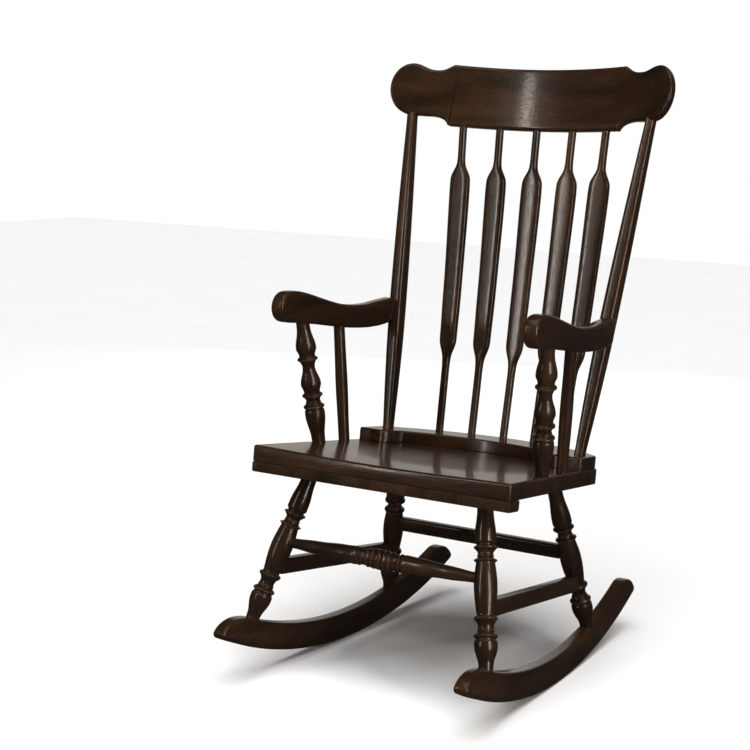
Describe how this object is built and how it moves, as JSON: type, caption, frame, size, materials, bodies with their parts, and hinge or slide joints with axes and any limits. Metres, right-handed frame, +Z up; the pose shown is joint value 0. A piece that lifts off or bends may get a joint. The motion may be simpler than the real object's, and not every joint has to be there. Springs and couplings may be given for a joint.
{
  "type": "rocking chair",
  "caption": "Wooden rocking chair with turned legs, arrow-shaped back spindles, a curved crest rail, sawn arms and bowed rockers.",
  "frame": {"origin": "on the floor, under the middle of the chair's box", "axes": "+Z up, the chair faces -Y, +X towards the sitter's left"},
  "size_m": [0.635, 0.8257, 1.1805],
  "materials": {
    "stained_wood": "dark espresso stain under gloss lacquer, open grain",
    "zinc_steel": "bright zinc plate"
  },
  "bodies": {
    "root": {"seat_plank": "stained_wood", "seat_lip": "stained_wood", "seat_riser": "stained_wood", "rocker_left": "stained_wood", "rocker_right": "stained_wood", "leg_front_left": "stained_wood", "leg_front_right": "stained_wood", "leg_rear_left": "stained_wood", "leg_rear_right": "stained_wood", "stretcher_front": "stained_wood", "stretcher_rear": "stained_wood", "stretcher_left": "stained_wood", "stretcher_right": "stained_wood", "back_post_left": "stained_wood", "back_post_right": "stained_wood", "back_spindle_1": "stained_wood", "back_spindle_2": "stained_wood", "back_spindle_3": "stained_wood", "back_spindle_4": "stained_wood", "back_spindle_5": "stained_wood", "crest_rail": "stained_wood", "arm_left": "stained_wood", "arm_right": "stained_wood", "arm_support_left": "stained_wood", "arm_support_right": "stained_wood", "arm_spindle_left": "stained_wood", "arm_spindle_right": "stained_wood", "rocker_bolts": "zinc_steel", "leg_inserts": "zinc_steel", "post_bolts": "zinc_steel", "post_inserts": "zinc_steel", "riser_screws": "zinc_steel", "lip_screws": "zinc_steel", "arm_bolts": "zinc_steel", "arm_plugs": "stained_wood"}
  },
  "joints": []
}
